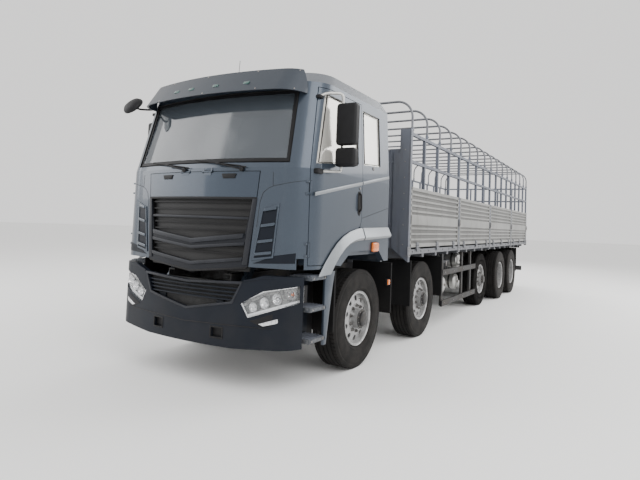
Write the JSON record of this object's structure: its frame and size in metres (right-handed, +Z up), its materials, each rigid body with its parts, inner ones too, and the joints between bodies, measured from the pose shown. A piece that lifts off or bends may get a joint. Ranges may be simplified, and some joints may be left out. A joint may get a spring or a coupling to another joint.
{
  "type": "stake truck",
  "caption": "Long cargo truck with a tilting sleeper cab, drop side boards and a stake rack under bows, on steered front wheels and driven rear wheels.",
  "frame": {"origin": "bottom centre of the whole truck, on the ground", "axes": "+X to the truck's left, +Y to the rear, +Z up; the cab's front faces -Y"},
  "size_m": [2.94, 11.8025, 3.296],
  "materials": {
    "cab_paint": "gloss metallic blue-grey",
    "window_glass": "clear, slightly tinted",
    "dark_plastic": "grained black",
    "grey_plastic": "grained grey",
    "frame_paint": "satin black",
    "engine_paint": "painted casting",
    "grey_steel": "satin light grey",
    "board_steel": "ribbed, satin light grey",
    "tank_aluminium": "satin",
    "wheel_silver": "satin silver",
    "tyre_rubber": "matte",
    "lamp_lens": "clear lens"
  },
  "bodies": {
    "chassis": {"chassis_frame": "frame_paint", "engine": "engine_paint", "axle_beams": "frame_paint", "leaf_springs": "frame_paint", "front_bumper": "cab_paint", "lamps": "lamp_lens", "cab_steps": "dark_plastic", "mudguards": "dark_plastic", "side_guards": "grey_steel", "tanks": "tank_aluminium", "deck": "grey_steel", "headboard": "grey_steel", "stake_frame": "grey_steel", "bows": "grey_steel"},
    "cab": {"cab_shell": "cab_paint", "cab_glass": "window_glass", "sun_visor": "cab_paint", "cab_interior": "grey_plastic", "arch_flares": "cab_paint", "front_mirror": "dark_plastic"},
    "front_panel": {"cab_front_panel": "cab_paint"},
    "tailgate": {"tailgate": "board_steel"},
    "door_left": {"door_left": "cab_paint", "door_glass_left": "window_glass", "mirror_left": "dark_plastic"},
    "board_left_1": {"board_left_1": "board_steel"},
    "board_left_2": {"board_left_2": "board_steel"},
    "board_left_3": {"board_left_3": "board_steel"},
    "board_left_4": {"board_left_4": "board_steel"},
    "knuckle_first_left": {"knuckle_first_left": "frame_paint"},
    "knuckle_second_left": {"knuckle_second_left": "frame_paint"},
    "wheel_first_left": {"tyre_first_left": "tyre_rubber", "rim_first_left": "wheel_silver"},
    "wheel_second_left": {"tyre_second_left": "tyre_rubber", "rim_second_left": "wheel_silver"},
    "wheel_third_left": {"tyre_third_left": "tyre_rubber", "rim_third_left": "wheel_silver"},
    "wheel_fourth_left": {"tyre_fourth_left": "tyre_rubber", "rim_fourth_left": "wheel_silver"},
    "wheel_fifth_left": {"tyre_fifth_left": "tyre_rubber", "rim_fifth_left": "wheel_silver"},
    "door_right": {"door_right": "cab_paint", "door_glass_right": "window_glass", "mirror_right": "dark_plastic"},
    "board_right_1": {"board_right_1": "board_steel"},
    "board_right_2": {"board_right_2": "board_steel"},
    "board_right_3": {"board_right_3": "board_steel"},
    "board_right_4": {"board_right_4": "board_steel"},
    "knuckle_first_right": {"knuckle_first_right": "frame_paint"},
    "knuckle_second_right": {"knuckle_second_right": "frame_paint"},
    "wheel_first_right": {"tyre_first_right": "tyre_rubber", "rim_first_right": "wheel_silver"},
    "wheel_second_right": {"tyre_second_right": "tyre_rubber", "rim_second_right": "wheel_silver"},
    "wheel_third_right": {"tyre_third_right": "tyre_rubber", "rim_third_right": "wheel_silver"},
    "wheel_fourth_right": {"tyre_fourth_right": "tyre_rubber", "rim_fourth_right": "wheel_silver"},
    "wheel_fifth_right": {"tyre_fifth_right": "tyre_rubber", "rim_fifth_right": "wheel_silver"}
  },
  "joints": [
    {"name": "cab_tilt", "type": "hinge", "parent": "chassis", "child": "cab", "pos_m": [0, -5.73, 0.86], "axis": [1, 0, 0], "range_deg": [0, 45]},
    {"name": "front_panel_lift", "type": "hinge", "parent": "cab", "child": "front_panel", "pos_m": [0, -5.84054, 2.043], "axis": [-1, 0, 0], "range_deg": [0, 75]},
    {"name": "tailgate_drop", "type": "hinge", "parent": "chassis", "child": "tailgate", "pos_m": [0, 5.9025, 1.29], "axis": [-1, 0, 0], "range_deg": [0, 180]},
    {"name": "door_left_swing", "type": "hinge", "parent": "cab", "child": "door_left", "pos_m": [1.202, -5.598, 1.6], "axis": [0, 0, -1], "range_deg": [0, 70]},
    {"name": "board_left_1_drop", "type": "hinge", "parent": "chassis", "child": "board_left_1", "pos_m": [1.2625, -2.16, 1.29], "axis": [0, 1, 0], "range_deg": [0, 165]},
    {"name": "board_left_2_drop", "type": "hinge", "parent": "chassis", "child": "board_left_2", "pos_m": [1.2625, 0.14, 1.29], "axis": [0, 1, 0], "range_deg": [0, 165]},
    {"name": "board_left_3_drop", "type": "hinge", "parent": "chassis", "child": "board_left_3", "pos_m": [1.2625, 2.44, 1.29], "axis": [0, 1, 0], "range_deg": [0, 165]},
    {"name": "board_left_4_drop", "type": "hinge", "parent": "chassis", "child": "board_left_4", "pos_m": [1.2625, 4.74, 1.29], "axis": [0, 1, 0], "range_deg": [0, 165]},
    {"name": "steer_first_left", "type": "hinge", "parent": "chassis", "child": "knuckle_first_left", "pos_m": [0.84, -4.44, 0.542], "axis": [0, 0, 1], "range_deg": [-35, 35]},
    {"name": "steer_second_left", "type": "hinge", "parent": "chassis", "child": "knuckle_second_left", "pos_m": [0.84, -2.49, 0.542], "axis": [0, 0, 1], "range_deg": [-27, 27]},
    {"name": "wheel_first_left_spin", "type": "hinge", "parent": "knuckle_first_left", "child": "wheel_first_left", "pos_m": [1.01, -4.44, 0.542], "axis": [1, 0, 0], "continuous": true},
    {"name": "wheel_second_left_spin", "type": "hinge", "parent": "knuckle_second_left", "child": "wheel_second_left", "pos_m": [1.01, -2.49, 0.542], "axis": [1, 0, 0], "continuous": true},
    {"name": "wheel_third_left_spin", "type": "hinge", "parent": "chassis", "child": "wheel_third_left", "pos_m": [0.97, 1.16, 0.542], "axis": [1, 0, 0], "continuous": true},
    {"name": "wheel_fourth_left_spin", "type": "hinge", "parent": "chassis", "child": "wheel_fourth_left", "pos_m": [0.92, 2.51, 0.542], "axis": [1, 0, 0], "continuous": true},
    {"name": "wheel_fifth_left_spin", "type": "hinge", "parent": "chassis", "child": "wheel_fifth_left", "pos_m": [0.92, 3.86, 0.542], "axis": [1, 0, 0], "continuous": true},
    {"name": "door_right_swing", "type": "hinge", "parent": "cab", "child": "door_right", "pos_m": [-1.202, -5.598, 1.6], "axis": [0, 0, 1], "range_deg": [0, 70]},
    {"name": "board_right_1_drop", "type": "hinge", "parent": "chassis", "child": "board_right_1", "pos_m": [-1.2625, -2.16, 1.29], "axis": [0, -1, 0], "range_deg": [0, 165]},
    {"name": "board_right_2_drop", "type": "hinge", "parent": "chassis", "child": "board_right_2", "pos_m": [-1.2625, 0.14, 1.29], "axis": [0, -1, 0], "range_deg": [0, 165]},
    {"name": "board_right_3_drop", "type": "hinge", "parent": "chassis", "child": "board_right_3", "pos_m": [-1.2625, 2.44, 1.29], "axis": [0, -1, 0], "range_deg": [0, 165]},
    {"name": "board_right_4_drop", "type": "hinge", "parent": "chassis", "child": "board_right_4", "pos_m": [-1.2625, 4.74, 1.29], "axis": [0, -1, 0], "range_deg": [0, 165]},
    {"name": "steer_first_right", "type": "hinge", "parent": "chassis", "child": "knuckle_first_right", "pos_m": [-0.84, -4.44, 0.542], "axis": [0, 0, 1], "range_deg": [-35, 35]},
    {"name": "steer_second_right", "type": "hinge", "parent": "chassis", "child": "knuckle_second_right", "pos_m": [-0.84, -2.49, 0.542], "axis": [0, 0, 1], "range_deg": [-27, 27]},
    {"name": "wheel_first_right_spin", "type": "hinge", "parent": "knuckle_first_right", "child": "wheel_first_right", "pos_m": [-1.01, -4.44, 0.542], "axis": [1, 0, 0], "continuous": true},
    {"name": "wheel_second_right_spin", "type": "hinge", "parent": "knuckle_second_right", "child": "wheel_second_right", "pos_m": [-1.01, -2.49, 0.542], "axis": [1, 0, 0], "continuous": true},
    {"name": "wheel_third_right_spin", "type": "hinge", "parent": "chassis", "child": "wheel_third_right", "pos_m": [-0.97, 1.16, 0.542], "axis": [1, 0, 0], "continuous": true},
    {"name": "wheel_fourth_right_spin", "type": "hinge", "parent": "chassis", "child": "wheel_fourth_right", "pos_m": [-0.92, 2.51, 0.542], "axis": [1, 0, 0], "continuous": true},
    {"name": "wheel_fifth_right_spin", "type": "hinge", "parent": "chassis", "child": "wheel_fifth_right", "pos_m": [-0.92, 3.86, 0.542], "axis": [1, 0, 0], "continuous": true}
  ],
  "couplings": [
    {"joint": "steer_first_right", "follows": "steer_first_left", "ratio": 1},
    {"joint": "steer_second_left", "follows": "steer_first_left", "ratio": 0.76},
    {"joint": "steer_second_right", "follows": "steer_first_left", "ratio": 0.76}
  ]
}
